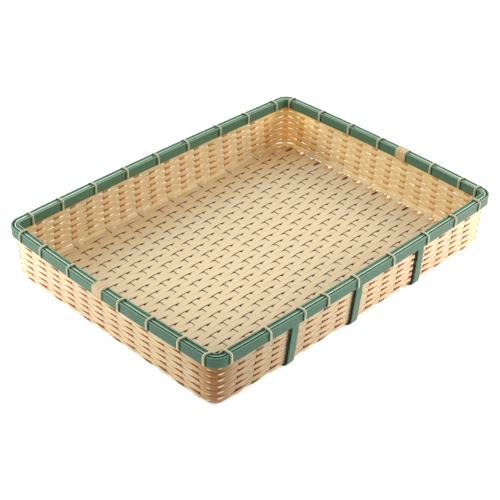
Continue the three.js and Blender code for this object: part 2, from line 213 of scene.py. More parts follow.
# A strip swept along points. through is the way out of its face; width and thickness may vary.
def sweep(gather, points, through, width, thickness, section, closed=False, tint=(1, 1, 1), tone=None):
    points = np.asarray(points, float)
    count, ring = len(points), len(section)
    if closed:
        tangent = np.roll(points, -1, 0) - np.roll(points, 1, 0)
        steps = np.linalg.norm(points - np.roll(points, 1, 0), axis=1)
        steps[0] = 0
    else:
        tangent = np.gradient(points, axis=0)
        steps = np.concatenate([[0], np.linalg.norm(np.diff(points, axis=0), axis=1)])
    tangent = unit(tangent)
    side = unit(np.cross(np.asarray(through, float), tangent))
    face = unit(np.cross(tangent, side))
    across = np.broadcast_to(np.asarray(width, float) / 2, (count,))[:, None] * section[:, 0]
    outwards = np.broadcast_to(np.asarray(thickness, float) / 2, (count,))[:, None] * section[:, 1]
    spread = side[:, None, :] * across[..., None] + face[:, None, :] * outwards[..., None]
    grain = np.empty((count, ring, 3))
    grain[..., 0] = np.cumsum(steps)[:, None]
    grain[..., 1] = across + grainDepth * outwards
    grain[..., 2] = draw.random()
    tints = np.asarray(tint, float)
    tints = tints if tints.ndim == 3 else np.broadcast_to(tints, (count, 3))[:, None, :]
    colours = tints * (np.ones((ring, 3)) if tone is None else tone)[None]
    spans = np.arange(count if closed else count - 1)[:, None]
    first, second = spans * ring, (spans + 1) % count * ring
    here = np.arange(ring)[None, :]
    there = (here + 1) % ring
    quads = np.stack([first + here, first + there, second + there, second + here], axis=-1)
    gather.points.append((points[:, None, :] + spread).reshape(-1, 3))
    gather.grain.append(grain.reshape(-1, 3))
    gather.tint.append(colours.reshape(-1, 3))
    gather.quads.append(quads.reshape(-1, 4) + gather.count)
    if not closed:
        gather.caps += [gather.count + here[0, ::-1], gather.count + (count - 1) * ring + here[0]]
    gather.count += count * ring


# The floor is straight and the rim bows outwards, so a point is drawn in towards the
# corners, and the more so the higher it lies
def bowed(points):
    share = np.clip(points[:, 2] / basket["rimUnder"], 0, 1)
    alongLong = 2 * points[:, 0] / basket["length"]
    alongShort = 2 * points[:, 1] / basket["width"]
    inX = alongLong * basket["shortBow"] * alongShort ** 2 * share
    inY = alongShort * basket["longBow"] * alongLong ** 2 * share
    return points - np.column_stack([inX, inY, np.zeros(len(points))])


sharpAngle = math.radians(62)


def setEach(items, key, values, kind=np.float32):
    items.foreach_set(key, np.ravel(values).astype(kind))


def makePiece(name, gather, material, nodes):
    points = bowed(np.concatenate(gather.points)) * millimetre
    grain = np.concatenate(gather.grain)
    quads = np.concatenate(gather.quads)
    loops = np.concatenate([quads.ravel(), *gather.caps])
    totals = np.array([4] * len(quads) + [len(cap) for cap in gather.caps])
    mesh = bpy.data.meshes.new(name)
    mesh.vertices.add(len(points))
    setEach(mesh.vertices, "co", points)
    mesh.loops.add(len(loops))
    setEach(mesh.loops, "vertex_index", loops, np.int32)
    mesh.polygons.add(len(totals))
    setEach(mesh.polygons, "loop_start", np.cumsum(totals) - totals, np.int32)
    mesh.update(calc_edges=True)
    setEach(mesh.polygons, "use_smooth", np.ones(len(totals)), bool)
    mesh.set_sharp_from_angle(angle=sharpAngle)
    colours = np.column_stack([np.concatenate(gather.tint), np.ones(len(points))])
    setEach(mesh.attributes.new("grain", "FLOAT_VECTOR", "POINT").data, "vector", grain)
    setEach(mesh.attributes.new("tint", "FLOAT_COLOR", "POINT").data, "color", colours)
    setEach(mesh.uv_layers.new(name="strip").data, "uv", grain[loops, :2] * millimetre)
    mesh.validate()
    mesh.materials.append(material)
    piece = bpy.data.objects.new(name, mesh)
    scene.collection.objects.link(piece)
    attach(piece, "root")
    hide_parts(*nodes)
    print("piece:", name, len(points), "points")


# A material's nodes, whose sockets are filled with a link, a colour or a number
class NodeTree:
    def __init__(self, material):
        material.use_nodes = True
        self.tree = material.node_tree
        self.tree.nodes.clear()

    def fill(self, socket, value):
        if isinstance(value, bpy.types.NodeSocket):
            self.tree.links.new(value, socket)
        elif socket.type == "RGBA":
            socket.default_value = (*value, 1.0)
        else:
            socket.default_value = value

    def add(self, kind, sockets=None, **values):
        node = self.tree.nodes.new("ShaderNode" + kind)
        for key, value in values.items():
            setattr(node, key, value)
        for key, value in (sockets or {}).items():
            self.fill(node.inputs[key], value)
        return node

    def maths(self, operation, *values):
        return self.add("Math", dict(enumerate(values)), operation=operation).outputs[0]

    def ranged(self, value, low, high, top=1.0):
        sockets = {"Value": value, "From Min": low, "From Max": high, "To Max": top}
        return self.add("MapRange", sockets).outputs["Result"]

    def mixed(self, factor, first, second, blend="MIX"):
        node = self.add("Mix", {"Factor": factor}, data_type="RGBA", blend_type=blend)
        colours = [socket for socket in node.inputs if socket.type == "RGBA"]
        self.fill(colours[0], first)
        self.fill(colours[1], second)
        return next(socket for socket in node.outputs if socket.type == "RGBA")

    def surface(self, sockets):
        self.add("OutputMaterial", {"Surface": self.add("BsdfPrincipled", sockets).outputs["BSDF"]})


# Noise drawn out along the strips: its scale along, across and between them, detail, contrast
streaks = {
    "patch": ((0.02, 0.05, 91), 2, 0.22),
    "coarse": ((0.025, 0.9, 57), 3, 0.25),
    "fine": ((0.09, 5.5, 33), 3, 0.3),
    "roughness": 0.6, "bumpDistance": 0.00012,
}


def bambooMaterial(name, look):
    material = bpy.data.materials.new(name)
    tree = NodeTree(material)
    grain = tree.add("Attribute", attribute_name="grain").outputs["Vector"]
    tint = tree.add("Attribute", attribute_name="tint").outputs["Color"]
    strip = tree.add("SeparateXYZ", {0: grain}).outputs["Z"]
    stripTone = tree.add("TexWhiteNoise", {"W": strip}, noise_dimensions="1D").outputs["Value"]
    colour = tree.mixed(stripTone, look["first"], look["second"])
    noises = {}
    for kind, toneName in (("patch", "third"), ("coarse", "dark"), ("fine", "dark")):
        scales, detail, contrast = streaks[kind]
        scaled = tree.add("VectorMath", {0: grain, 1: scales}, operation="MULTIPLY").outputs[0]
        sockets = {"Vector": scaled, "Scale": 1.0, "Detail": detail, "Roughness": streaks["roughness"]}
        noise = tree.add("TexNoise", sockets).outputs["Fac"]
        noises[kind] = tree.ranged(noise, 0.5 - contrast, 0.5 + contrast)
        colour = tree.mixed(tree.maths("MULTIPLY", noises[kind], look[kind]), colour, look[toneName])
    bump = tree.add("Bump", {
        "Strength": look["bump"],
        "Distance": streaks["bumpDistance"],
        "Height": tree.maths("ADD", noises["fine"], noises["coarse"]),
    })
    tree.surface({
        "Base Color": tree.mixed(1.0, colour, tint, "MULTIPLY"),
        "Roughness": tree.maths("MULTIPLY_ADD", noises["coarse"], look["roughSpread"], look["rough"]),
        "Specular IOR Level": look["specular"],
        "Coat Weight": look["coat"],
        "Coat Roughness": look["coatRough"],
        "Normal": bump.outputs["Normal"],
    })
    return material


bambooLook = {
    "first": (0.765, 0.625, 0.40), "second": (0.73, 0.615, 0.42),
    "third": (0.71, 0.625, 0.41), "dark": (0.55, 0.40, 0.22), "patch": 0.5, "coarse": 0.28,
    "fine": 0.2, "rough": 0.5, "roughSpread": 0.1, "specular": 0.35,
    "coat": 0, "coatRough": 0.3, "bump": 0.35,
}
weaverLook = {
    **bambooLook,
    "first": (0.93, 0.84, 0.66), "second": (0.90, 0.77, 0.54), "third": (0.86, 0.68, 0.43),
    "dark": (0.62, 0.40, 0.17), "patch": 0.35, "coarse": 0.25,
}
greenLook = {
    **bambooLook,
    "first": (0.066, 0.158, 0.092), "second": (0.079, 0.177, 0.111),
    "third": (0.126, 0.225, 0.148), "dark": (0.03, 0.09, 0.055), "patch": 0.4,
    "coarse": 0.4, "fine": 0.3, "rough": 0.34, "roughSpread": 0.14,
    "specular": 0.3, "coat": 0.06, "coatRough": 0.25, "bump": 0.3,
}
fillerLook = {
    **greenLook,
    "first": (0.20, 0.30, 0.21), "second": (0.26, 0.36, 0.25), "third": (0.34, 0.42, 0.29),
    "dark": (0.08, 0.14, 0.08), "coat": 0,
}
tieLook = {
    **bambooLook,
    "first": (0.66, 0.62, 0.44), "second": (0.60, 0.60, 0.42), "third": (0.72, 0.64, 0.42),
    "dark": (0.38, 0.32, 0.16), "patch": 0.4, "coarse": 0.3, "fine": 0.25,
}
binderLook = {
    **bambooLook,
    "first": (0.59, 0.50, 0.345), "second": (0.59, 0.50, 0.345),
    "third": (0.56, 0.44, 0.25), "dark": (0.42, 0.31, 0.16), "patch": 0.4, "coarse": 0.3,
}
bamboo = bambooMaterial("splitBamboo", bambooLook)
weaverBamboo = bambooMaterial("weaverBamboo", weaverLook)
greenSkin = bambooMaterial("greenSkin", greenLook)
fillerSkin = bambooMaterial("fillerSkin", fillerLook)
tieStrand = bambooMaterial("tieStrand", tieLook)
binderSkin = bambooMaterial("binderSkin", binderLook)
print("stage: materials made")

strips = {
    "thickness": 0.75,
    # Lengthwise strips: how they dip beside a crossing, and narrow where they lie below
    "floorWidth": 6.34, "floorSwing": 0.48, "crossSteps": 14,
    "dipAway": [0, 2, 3, 4, 5, 6, 7.2, 9.75],
    "dipShare": [1, 0.98, 0.88, 0.66, 0.4, 0.18, 0.05, 0],
    "pinch": 1.25,
    "pinchAway": [0, 3.6, 5.4, 7, 8.4, 9.6],
    "pinchShare": [1, 0.95, 0.66, 0.36, 0.1, 0],
    "pinchLean": 0.4, "leanReach": 4, "drift": 0.03, "driftLong": (40, 90),
    # Painted shade on their edges: dark where a strip lies above or dips below its neighbour, faint
    # where they lie flush
    "edgeFrom": 0.88,
    "edgeShare": [1, 1, 0.9, 0.6, 0.2, 0],
    "raisedEdgeShade": (0.17, 0.06, 0.02), "dippedEdgeShade": (0.45, 0.18, 0.06),
    "flushEdgeShade": (0.95, 0.92, 0.86),
    # Their ends at the foot, with painted shade where they run in under the wall
    "leadSteps": 10, "liftEase": 1.2, "endShadeTone": (0.9, 0.6, 0.3), "endFrom": 0.35,
    "endClimb": 4.6, "endSteps": 6, "endShort": 0.4, "cornerFrom": 106,
    "cornerSteps": 20, "leastWidth": 0.5,
    "holeCuts": {0: (1, 3.4), 1: (-1, 3.4), 3: (-1, 1.9), 4: (1, 1.9)},
    "holeEvery": 6, "holeLong": 5.5,
    # Cross strips, with painted shade along one edge
    "crossWidth": 6.5, "crossSwing": 0.33, "crossPlateau": 1.6, "waveSteps": 6,
    # Painted shade along one edge of each cross strip
    "crossLeadSteps": 6, "crossEdgeFrom": 0.93, "crossEdgeShade": (0.26, 0.12, 0.06),
    "backEdgeShare": 0.12,
    # Stakes, with painted shade as they climb the wall and on their outer faces
    "filletSteps": 6, "wallSteps": 12, "stakeShadeTone": (0.85, 0.52, 0.28), "stakeToneReach": 9,
    "stakeOuterShade": (0.72, 0.4, 0.28),
}
stakeClimbs = np.concatenate([
    filletArc * np.arange(1, strips["filletSteps"] + 1) / strips["filletSteps"],
    np.linspace(filletArc, wallTop, strips["wallSteps"])[1:],
])
# The stakes' outer faces, and the floor strips' undersides, get painted shade
crossTone = sectionTone(flatSection, strips["stakeOuterShade"])
plankTone = sectionTone(plankSection, strips["stakeOuterShade"])
crossShadeEdge = flatSection[:, 0] > strips["crossEdgeFrom"]
# The near and far edges of a floor strip, which carry painted shade
nearShadeEdge = plankSection[:, 0] < -strips["edgeFrom"]
farShadeEdge = plankSection[:, 0] > strips["edgeFrom"]

# Painted light and shade on the walls, by distance along the near walls and round the far corner
wallLightAndShade = {
    "frontAway": [0, 34, 62, 122, 160, 299, 345],
    "front": [(0.5, 0.42, 0.36), (0.51, 0.45, 0.39), (0.59, 0.54, 0.47), (0.69, 0.66, 0.62),
              (0.75, 0.73, 0.67), (0.94, 0.87, 0.86), (1, 1, 1)],
    "leftAway": [0, 44, 85, 155, 218, 250],
    "left": [(0.58, 0.52, 0.44), (0.67, 0.62, 0.54), (0.75, 0.73, 0.64), (0.8, 0.79, 0.75),
             (0.94, 0.9, 0.89), (1, 1, 1)],
    "wallDepth": 22, "nearTurn": 16, "back": (0.9, 0.94, 1), "right": (1.05, 1.12, 1.12),
    "farTurn": 30, "fadeReach": 40, "farCornerLight": (1.65, 1.55, 1.15), "cornerInset": 4,
    "cornerReach": 62,
}


# Painted light and shade on the walls: the near walls darken towards the near corner, the right wall is
# painted lighter than the back, and the far corner lighter and warmer
def paintedWallLight(points):
    points = np.atleast_2d(points)
    alongX, alongY = points[:, 0] + halfLong, points[:, 1] + halfWide
    toBack, toRight = basket["width"] - alongY, basket["length"] - alongX
    front = toneAlong(alongX, wallLightAndShade["frontAway"], wallLightAndShade["front"])
    left = toneAlong(alongY, wallLightAndShade["leftAway"], wallLightAndShade["left"])
    onFront = np.clip(0.5 + (alongX - alongY) / wallLightAndShade["nearTurn"], 0, 1)[:, None]
    near = blend(left, front, onFront)
    onRight = np.clip(0.5 + (toBack - toRight) / wallLightAndShade["farTurn"], 0, 1)[:, None]
    far = blend(wallLightAndShade["back"], wallLightAndShade["right"], onRight)
    fade = eased(alongX / wallLightAndShade["fadeReach"]) * eased(alongY / wallLightAndShade["fadeReach"])
    fromCorner = np.hypot(toBack - wallLightAndShade["cornerInset"], toRight - wallLightAndShade["cornerInset"])
    atCorner = eased(1 - fromCorner / wallLightAndShade["cornerReach"])
    far = blend(1, far, fade[:, None]) * toned(wallLightAndShade["farCornerLight"], atCorner)
    isNear = np.minimum(alongX, alongY) < wallLightAndShade["wallDepth"]
    return np.where(isNear[:, None], near, far)


# Painted shade by the back and left walls, and painted light in the far corner
floorLightAndShade = {
    "backEdge": 118, "sideEdge": 165, "wallShadeTone": (0.9, 0.78, 0.63), "wallReach": 46,
    "leftEase": 0.15, "farCornerLight": (1.28, 1.15, 1), "cornerReach": 70,
}


# Painted shade makes the floor browner towards the back and left walls, and painted light makes it paler
# in the far corner
def paintedFloorLight(points):
    toBack, toRight = floorLightAndShade["backEdge"] - points[:, 1], floorLightAndShade["sideEdge"] - points[:, 0]
    toLeft = floorLightAndShade["sideEdge"] + points[:, 0]
    fromBack = np.clip(toBack / floorLightAndShade["wallReach"], 0, 1)
    fromLeft = np.clip(toLeft / floorLightAndShade["wallReach"] + floorLightAndShade["leftEase"], 0, 1)
    atWall = eased(1 - np.minimum(fromBack, fromLeft))
    atCorner = eased(1 - np.hypot(toBack, toRight) / floorLightAndShade["cornerReach"])
    return toned(floorLightAndShade["wallShadeTone"], atWall) * toned(floorLightAndShade["farCornerLight"], atCorner)


# Painted shade: the stakes grow darker and oranger as they climb, for the shade inside the weave
def paintedClimbShade(climbs):
    return toned(strips["stakeShadeTone"], eased(climbs / strips["stakeToneReach"]))


# One edge of a strip goes from a low tone to a high one, by a share for each of its points
def edgeTint(full, share, mask, low, high):
    full[:, mask] *= blend(low, high, share[:, None])[:, None, :]


# Painted shade: a strip's near edge is dark where it lies above its neighbour, its far edge where it
# dips below
def plankEdgeShade(tints, raised):
    full = np.repeat(tints[:, None, :], len(plankSection), axis=1)
    edgeTint(full, np.clip(raised, 0, 1), nearShadeEdge, strips["flushEdgeShade"], strips["raisedEdgeShade"])
    edgeTint(full, np.clip(-raised, 0, 1), farShadeEdge, strips["flushEdgeShade"], strips["dippedEdgeShade"])
    return full


# A strip passes over the first of some even places and under the next, or the other way round
def overOrUnder(index, sideOfFirst):
    return sideOfFirst * np.where(index % 2 == 0, 1, -1)


# A cross strip swings evenly from each floor strip to the next
def waveHeight(at, sideOfFirst):
    pitch, plateau = basket["floorPitch"], strips["crossPlateau"]
    index = np.clip(np.floor((at - floorY(0)) / pitch), 0, basket["floorCount"] - 2)
    past = at - (floorY(0) + index * pitch)
    share = eased((past - plateau) / (pitch - 2 * plateau))
    return strips["crossSwing"] * overOrUnder(index, sideOfFirst) * (1 - 2 * share)


# A floor strip dips only beside a crossing, and lies flush with its neighbours between two
def dipHeight(past, index, sideOfFirst):
    dip = np.interp(np.abs(past), strips["dipAway"], strips["dipShare"])
    return strips["floorSwing"] * overOrUnder(index, sideOfFirst) * dip


# The rows of a strip's left or front end, its middle and its other end, one after another
def joined(first, middle, last):
    return [np.concatenate([a[::-1], b, c]) for a, b, c in zip(first, middle, last)]


# A floor strip from the first cross strip to the last: points, way out, tint, width, raised edge
def plankMiddle(y, sideOfFirst):
    firstX, pitch = crossX(0), basket["crossPitch"]
    xs = np.linspace(firstX, -firstX, (basket["crossCount"] - 1) * strips["crossSteps"] + 1)
    wave = xs / draw.uniform(*strips["driftLong"]) + draw.uniform(0, anyPhase)
    index = np.round((xs - firstX) / pitch)
    past = xs - (firstX + index * pitch)
    zs = dipHeight(past, index, sideOfFirst)
    lean = strips["pinchLean"]
    leaning = 1 - lean + lean * np.clip(past / strips["leanReach"], -1, 1)
    pinched = np.interp(np.abs(past), strips["pinchAway"], strips["pinchShare"])
    pinch = strips["pinch"] * leaning * (zs < 0) * pinched
    ys = y + strips["drift"] * np.sin(wave) - pinch / 2
    points = np.stack([xs, ys, basket["floorMid"] + zs], axis=1)
    raised = np.sign(zs) * np.interp(np.abs(past), strips["pinchAway"], strips["edgeShare"])
    return points, np.tile(up, (len(xs), 1)), paintedFloorLight(points), strips["floorWidth"] - pinch, raised


# How much the outer strips are cut to follow the arc of the foot's corner
def arcCuts(points, y):
    inset = footInset + basket["footCorner"]
    runX = np.clip(np.abs(points[:, 0]) - (halfLong - inset), 0, None)
    arc = np.sqrt(np.clip(basket["footCorner"] ** 2 - runX ** 2, 0, None))
    past = abs(y) + strips["floorWidth"] / 2 - (halfWide - inset + arc)
    return np.clip(past, 0, strips["floorWidth"] - strips["leastWidth"])


# An end of a floor strip. It climbs the wall as a stake, or stops at the foot: beside a corner
# along the arc, on the left a little way up, and on the right with room for small holes.
def plankEnd(j, end, edge):
    y = floorY(j)
    wall = "left" if end < 0 else "right"
    isStake = (j - basket["firstStake"]) % basket["stakeEvery"] == 0
    atCorner = abs(y) > strips["cornerFrom"]
    besideY = y - math.copysign(strips["floorWidth"] / 2, y) * (1 if atCorner else -1)
    footX = abs(wallStation(("right", y if isStake else besideY), 0)[0][0])
    gap = footX - abs(crossX(0))
    shares = np.linspace(0, 1, strips["cornerSteps" if atCorner else "leadSteps"])[1:]
    lift = blend(edge[2], basket["floorMid"], eased(shares * strips["liftEase"]))
    lead = np.stack([end * (abs(crossX(0)) + gap * shares), np.full(len(shares), edge[1]), lift], axis=1)
    climbs, leadTint, endTint = stakeClimbs, paintedFloorLight(lead), paintedClimbShade(stakeClimbs)
    if not isStake:
        climbs = np.linspace(0, strips["endClimb"], strips["endSteps"])[1:]
        if atCorner or end > 0:
            climbs = climbs[:0]
        if end > 0 and not atCorner:
            lead[:, 0] -= strips["endShort"] * shares
        leadTint = paintedFloorLight(lead)
        # Painted shade: the ends turn brown towards the wall's foot
        footShade = eased((shares - strips["endFrom"]) / (1 - strips["endFrom"]))[:, None]
        leadTint = blend(leadTint, strips["endShadeTone"], footShade)
        endTint = np.tile(strips["endShadeTone"], (len(climbs), 1))
    climbPoints, normals = wallLine((wall, y), climbs)
    points = np.concatenate([lead, climbPoints])
    through = np.concatenate([np.tile(up, (len(lead), 1)), -normals])
    tint = np.concatenate([leadTint, endTint * paintedWallLight(climbPoints)])
    away, cuts = 0, np.zeros(len(points))
    if atCorner:
        away, cuts = -math.copysign(1, y), arcCuts(points, y)
    elif end > 0 and j % strips["holeEvery"] in strips["holeCuts"]:
        away, cut = strips["holeCuts"][j % strips["holeEvery"]]
        cuts = cut * eased((gap * shares - gap) / strips["holeLong"] + 1)
    points[:, 1] += away * cuts / 2
    return points, through, tint, strips["floorWidth"] - cuts, np.zeros(len(points))


base = Gather()
for j in range(basket["floorCount"]):
    middle = plankMiddle(floorY(j), 1 if j % 2 == 0 else -1)
    left, right = plankEnd(j, -1, middle[0][0]), plankEnd(j, 1, middle[0][-1])
    points, through, tint, width, raised = joined(left, middle, right)
    sweep(base, points, through, width, strips["thickness"], plankSection,
          tint=plankEdgeShade(tint, raised), tone=plankTone)


# An end of a cross strip climbs the wall as a stake: points, way out, tint, and the share of painted
# shade on its edge
def crossEnd(x, end, edge):
    place = ("front" if end < 0 else "back", x)
    foot = wallStation(place, 0)[0]
    lead = blend(edge, foot, np.linspace(0, 1, strips["crossLeadSteps"])[1:, None])
    climbPoints, normals = wallLine(place, stakeClimbs)
    climbTints = paintedFloorLight(lead)[-1] * paintedClimbShade(stakeClimbs) * paintedWallLight(climbPoints)
    dark = np.ones(len(lead) + len(climbPoints))
    if end > 0:
        dark[len(lead) - 1:] = strips["backEdgeShare"]
    through = np.concatenate([np.tile(up, (len(lead), 1)), -normals])
    tint = np.concatenate([paintedFloorLight(lead), climbTints])
    return np.concatenate([lead, climbPoints]), through, tint, dark


for i in range(basket["crossCount"]):
    x = crossX(i)
    ys = np.linspace(floorY(0), -floorY(0), (basket["floorCount"] - 1) * strips["waveSteps"] + 1)
    zs = basket["floorMid"] + waveHeight(ys, -1 if i % 2 == 0 else 1)
    core = np.stack([np.full(len(ys), x), ys, zs], axis=1)
    middle = core, np.tile(up, (len(ys), 1)), paintedFloorLight(core), np.ones(len(ys))
    points, through, tint, dark = joined(crossEnd(x, -1, core[0]), middle, crossEnd(x, 1, core[-1]))
    # Painted shade darkens one edge of each cross strip, and only a little up the back wall
    full = np.repeat(tint[:, None, :], len(flatSection), axis=1)
    edgeTint(full, dark, crossShadeEdge, (1, 1, 1), strips["crossEdgeShade"])
    sweep(base, points, through, strips["crossWidth"], strips["thickness"], flatSection,
          tint=full, tone=crossTone)

# Thin dark red strips stand for the painted shade in slots at the right wall's foot beside every second
# stake
paintedShadeSlots = {
    "width": 2.3, "length": 10, "lift": 0.95, "inset": 1.5,
    "thickness": 0.3, "steps": 8, "taper": 0.12, "tone": (0.2, 0.055, 0.03),
}
for k in range(1, basket["shortCount"], 2):
    y = shortY(k) + basket["floorPitch"] / 2
    endX = wallStation(("right", y), 0)[0][0] - paintedShadeSlots["inset"]
    xs = np.linspace(endX - paintedShadeSlots["length"], endX, paintedShadeSlots["steps"])
    points = np.array([(x, y, basket["floorMid"] + paintedShadeSlots["lift"]) for x in xs])
    wide = paintedShadeSlots["width"] * np.sin(np.pi * np.linspace(paintedShadeSlots["taper"], 1 - paintedShadeSlots["taper"], len(xs)))
    sweep(base, points, up, wide, paintedShadeSlots["thickness"], flatSection, tint=paintedShadeSlots["tone"])
makePiece("wovenFloor", base, bamboo, ["woven_base"])

weave = {
    "rows": 13, "footShare": 0.402, "underGap": 1.4, "thickness": 0.7,
    "swing": 0.66, "jitter": 0.14,
    # Widths between two stakes, and over a stake on the outside and on the inside
    "width": 3.1, "outerWidth": 4.2, "leftWidth": 4.5, "innerWidth": 4.3,
    "footWidth": 3.9, "footShift": 0.35,
    # How a weaver leaves a stake: the last place only ends the lists
    "away": [0, 1.3, 2.4, 3, 3.6, 4.4, 5.4, 6.8, 8.2, 9.6],
    "sideAway": [1, 1, 0.98, 0.94, 0.84, 0.66, 0.45, 0.22, 0.1, 0],
    "wideOuter": [1, 0.99, 0.93, 0.8, 0.6, 0.35, 0.15, 0.05, 0, 0],
    "wideInner": [1, 0.98, 0.85, 0.6, 0.28, 0.08, 0, 0, 0, 0],
    "midGap": 0.3, "closeSpan": 19,
    # Tones: random shades, painted shade along the edges, the inside face, and painted shade and
    # highlights at the near corner
    "rowShades": (0.03, 0.06, 0.096), "spanShades": (0.045, 0.09, 0.153),
    # Painted highlights on the spans beside the near corner
    "paintedHighlight": (0.98, 0.92, 0.85), "gleamFrom": 1.5, "gleamRise": 1.5, "gleamTo": 8,
    "gleamFall": 2.5, "crownReach": 0.55, "edgeShadeTone": (0.78, 0.6, 0.42), "edgeFrom": 0.9,
    "insideTone": (0.89, 0.79, 0.585), "cornerShadeTone": (0.58, 0.32, 0.064), "cornerFrom": 5,
    "cornerReach": 24,
}
weave["pitch"] = (wallLength - weave["underGap"]) / (weave["rows"] + weave["footShare"])
# The weavers' edges get painted shade between the rows; the inside face has its own tone
weaverTone = sectionTone(ribSection, weave["insideTone"], weave["edgeShadeTone"], weave["edgeFrom"])
# The crown of a weaver's face, which carries the painted highlight
highlightCrown = np.clip(1 - np.abs(ribSection[:, 0]) / weave["crownReach"], 0, 1) * (ribSection[:, 1] > 0)

# The stakes in their order round the walls, each wall followed by its corner stake
longSpots = [crossX(i) for i in range(basket["crossCount"])]
shortSpots = [shortY(i) for i in range(basket["shortCount"])]
stakes = []
for wall, spots, corner, turn in (
    ("front", longSpots, (1, -1), -math.pi / 2),
    ("right", shortSpots, (1, 1), 0.0),
    ("back", longSpots[::-1], (-1, 1), math.pi / 2),
    ("left", shortSpots[::-1], (-1, -1), math.pi),
):
    stakes += [(wall, at) for at in spots]
    stakes.append((*corner, turn + math.pi / 4))

# The near corner's stake is painted in shade, the far ones are painted lighter
cornerStake = {
    "width": 4.4, "climbFrom": 3, "nearShade": (0.6, 0.5, 0.35), "farTint": (1.7, 1.8, 1.6),
}
cornerStakes = Gather()
for place in [stake for stake in stakes if len(stake) == 3]:
    climbs = stakeClimbs[stakeClimbs > cornerStake["climbFrom"]]
    points, normals = wallLine(place, climbs)
    tint = paintedClimbShade(climbs) * cornerStake["nearShade" if place[:2] == (-1, -1) else "farTint"]
    width, thickness = cornerStake["width"], strips["thickness"]
    sweep(cornerStakes, points, -normals, width, thickness, flatSection, tint=tint)
cornerNames = [f"corner_stake_{k}" for k in range(1, 5)]
makePiece("cornerStakes", cornerStakes, bamboo, cornerNames)


# The straight way from a wall's last stake to the corner's bend at a climb, and the bend's radius
def toBend(wall, at, climb):
    inset, height, steep, radius = wallSection(climb)
    reach = basket["length" if wall in ("front", "back") else "width"] / 2 - inset - radius
    return max(reach - abs(at), 0), radius


# How far apart two neighbouring stakes are at a climb
def stakeSpan(first, second, climb):
    if len(first) == len(second):
        return abs(second[1] - first[1])
    straight, radius = toBend(*(first if len(first) == 2 else second), climb)
    return straight + radius * math.pi / 4


# A place part of the way between two stakes, by length round the wall at that climb
def between(first, second, share, climb):
    if len(first) == len(second):
        return (first[0], blend(first[1], second[1], share))
    (wall, at), corner = (first, second) if len(first) == 2 else (second, first)
    straight, radius = toBend(wall, at, climb)
    span = straight + radius * math.pi / 4
    travelled = span * share if len(first) == 2 else span - span * share
    if travelled < straight:
        return (wall, math.copysign(abs(at) + travelled, at))
    turn = (travelled - straight) / radius
    direction = -1 if len(first) == 2 else 1
    return (corner[0], corner[1], corner[2] + direction * (math.pi / 4 - turn))


# Painted shade: the weavers are darker and browner round the near corner, on top of the painted light
# and shade of the walls
def paintedCornerShade(point):
    if point[0] >= 0 or point[1] >= 0:
        return paintedWallLight(point)[0]
    spanX = max(halfLong - basket["wallInset"] - abs(point[0]), 0)
    spanY = max(halfWide - basket["wallInset"] - abs(point[1]), 0)
    near = eased(1 - (spanX + spanY - weave["cornerFrom"]) / weave["cornerReach"])
    return paintedWallLight(point)[0] * toned(weave["cornerShadeTone"], near)


# A weaver's width so far from a stake, on its outside or its inside
def weaverWidth(point, side, fromStake, width):
    onLeft = point[0] < wallLightAndShade["wallDepth"] - halfLong
    wide = weave["innerWidth"] if side <= 0 else weave["leftWidth" if onLeft else "outerWidth"]
    widening = np.interp(fromStake, weave["away"], weave["wideOuter" if side > 0 else "wideInner"])
    return blend(width, wide, widening)


# A closed row of the weave. The rows are counted down from the rim, and row -1 is the hidden
# one above them. Two spans beside the near corner get a painted highlight in turn.
def weaverRow(gather, row, form, shade):
    width = form["width"]
    if row < 0:
        climb = wallLength + weave["underGap"] + width / 2
    else:
        climb = wallLength - weave["underGap"] - (row + 0.5) * weave["pitch"]
    if row == weave["rows"] - 1:
        width, climb = weave["footWidth"], climb - weave["footShift"]
    count = len(stakes)
    phase = abs(row) % 2
    wander = draw.uniform(-1, 1, count) * weave["jitter"]
    spanShades = 1 - draw.random((count, 1)) * weave["spanShades"]
    points, normals, tints, widths = [], [], [], []
    for k, place in enumerate(stakes):
        following = (k + 1) % count
        after = stakes[following]
        half = stakeSpan(place, after, climb) / 2
        hasPaintedHighlight = row >= 0 and k == count - 1 - phase
        near = [away for away in weave["away"][:-1] if away < half - weave["midGap"]]
        for away in [*near, half, *[2 * half - away for away in near[:0:-1]]]:
            fromStake = min(away, 2 * half - away)
            bend = float(eased(away / (2 * half)))
            settled = float(np.interp(fromStake, weave["away"], weave["sideAway"]))
            if 2 * half < weave["closeSpan"]:
                settled *= min(1.0, 2 * (half - fromStake) / half)
            outside = (k + phase) % 2 == (1 if away <= half else 0)
            side = settled if outside else -settled
            lift = blend(wander[k], wander[following], bend)
            at = between(place, after, away / (2 * half), climb)
            point, normal = wallStation(at, climb + lift, side * form["swing"])
            shadeHere = blend(spanShades[k], spanShades[following], bend)
            # Random shades times the painted shade of the walls and the near corner
            tone = shade * shadeHere * paintedCornerShade(point)
            # A painted highlight on the crown of the span
            paintedHighlight = 0.0
            if hasPaintedHighlight:
                fromCorner = 2 * half - away if phase else away
                rising = eased((fromCorner - weave["gleamFrom"]) / weave["gleamRise"])
                paintedHighlight = rising * eased((weave["gleamTo"] - fromCorner) / weave["gleamFall"])
            points.append(point)
            normals.append(normal)
            tints.append(blend(tone, weave["paintedHighlight"], paintedHighlight * highlightCrown[:, None]))
            widths.append(width if row < 0 else weaverWidth(point, side, fromStake, width))
    sweep(gather, points, normals, widths, form["thickness"], ribSection, closed=True,
          tint=np.array(tints), tone=weaverTone)


rows = Gather()
for row in range(weave["rows"]):
    weaverRow(rows, row, weave, 1 - draw.random(3) * weave["rowShades"])
rowNames = [f"weaver_{k + 1:02d}" for k in range(weave["rows"])]
makePiece("wallWeavers", rows, weaverBamboo, rowNames)

